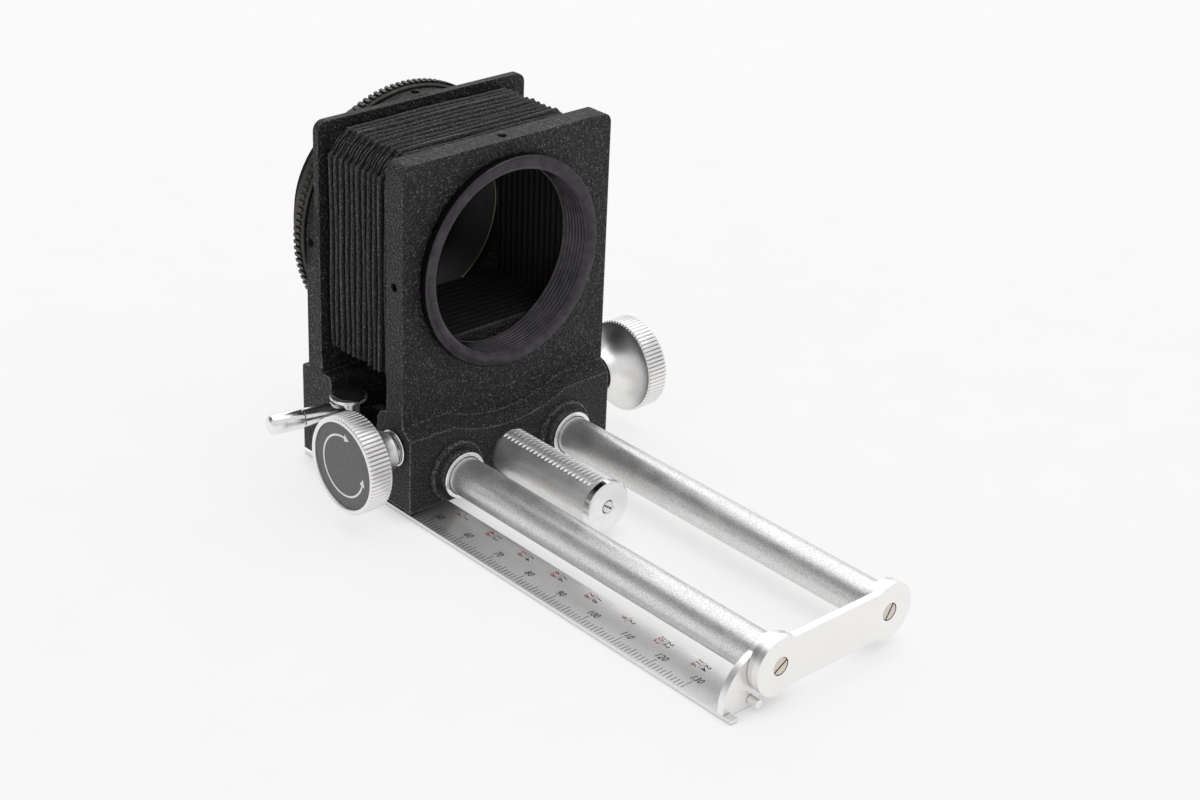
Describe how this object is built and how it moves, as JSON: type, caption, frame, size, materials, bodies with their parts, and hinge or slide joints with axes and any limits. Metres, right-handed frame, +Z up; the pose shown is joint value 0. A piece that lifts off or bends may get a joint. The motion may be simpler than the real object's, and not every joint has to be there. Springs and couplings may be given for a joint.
{
  "type": "macro bellows unit",
  "caption": "Macro bellows unit with a screw lens mount on a sliding front board, a camera mount ring behind, rack focusing by knobs and a clamp lever, on rails with a scale strip.",
  "frame": {"origin": "centre of the camera seat on the optical axis", "axes": "+Z up, +Y along the optical axis toward the camera, +X to the right as seen from the lens side"},
  "size_m": [0.0885, 0.166, 0.0834],
  "materials": {
    "crackle_casting": "black crackle paint on a light alloy casting",
    "blackened_metal": "black anodised, semi gloss",
    "satin_steel": "satin ground with light wear",
    "satin_aluminium": "satin anodised",
    "bright_chrome": "bright plated",
    "brass_screws": "satin, lightly tarnished",
    "grey_plate": "dark grey anodised with a fine grain",
    "gloss_black_cap": "gloss black",
    "bellows_cloth": "black leatherette cloth, matt"
  },
  "bodies": {
    "base": {"rear_standard": "crackle_casting", "rear_mount_flange": "blackened_metal", "rear_mount_grub_screws": "blackened_metal", "rear_bellows_frame": "crackle_casting", "left_rail": "satin_steel", "right_rail": "satin_steel", "rail_set_screws": "blackened_metal", "end_plate": "satin_aluminium", "end_plate_screws": "brass_screws", "rail_washers": "satin_aluminium", "scale_bracket": "satin_aluminium", "scale_plate": "satin_aluminium", "scale_rear_screw": "bright_chrome", "clamp_bolt": "bright_chrome", "bellows": "bellows_cloth"},
    "camera_mount": {"camera_mount_ring": "blackened_metal", "camera_mount_thread": "satin_aluminium"},
    "lever": {"lock_lever": "bright_chrome", "lever_cap": "gloss_black_cap"},
    "rod": {"rack_rod": "satin_steel", "rod_end_disc": "satin_steel", "rod_end_screw": "satin_steel"},
    "front": {"front_standard": "crackle_casting", "lens_mount_ring": "blackened_metal", "lens_mount_grub_screws": "blackened_metal", "left_rail_bush": "bright_chrome", "right_rail_bush": "bright_chrome", "front_bellows_frame": "crackle_casting", "left_shaft_collar": "bright_chrome", "right_shaft_collar": "blackened_metal"},
    "focus": {"focus_shaft": "satin_steel", "pinion": "satin_steel", "left_knob": "bright_chrome", "right_knob": "bright_chrome", "left_knob_plate": "grey_plate", "right_knob_plate": "grey_plate", "knob_grub_screws": "blackened_metal"}
  },
  "joints": [
    {"name": "camera_ring_turn", "type": "hinge", "parent": "base", "child": "camera_mount", "pos_m": [0, 0, 0], "axis": [0, 1, 0], "continuous": true},
    {"name": "lever_turn", "type": "hinge", "parent": "base", "child": "lever", "pos_m": [-0.027, -0.0235, -0.0355], "axis": [0, 0, -1], "range_deg": [0, 24]},
    {"name": "coarse_slide", "type": "slide", "parent": "base", "child": "rod", "axis": [0, -1, 0], "range_m": [-0.002, 0.036], "deforming": ["bellows"]},
    {"name": "fine_slide", "type": "slide", "parent": "rod", "child": "front", "axis": [0, -1, 0], "range_m": [-0.002, 0.029]},
    {"name": "knob_turn", "type": "hinge", "parent": "front", "child": "focus", "pos_m": [0, -0.0415, -0.03752], "axis": [1, 0, 0], "range_deg": [-41, 594]}
  ],
  "couplings": [
    {"joint": "knob_turn", "follows": "fine_slide", "rad_per_m": 357.14}
  ]
}
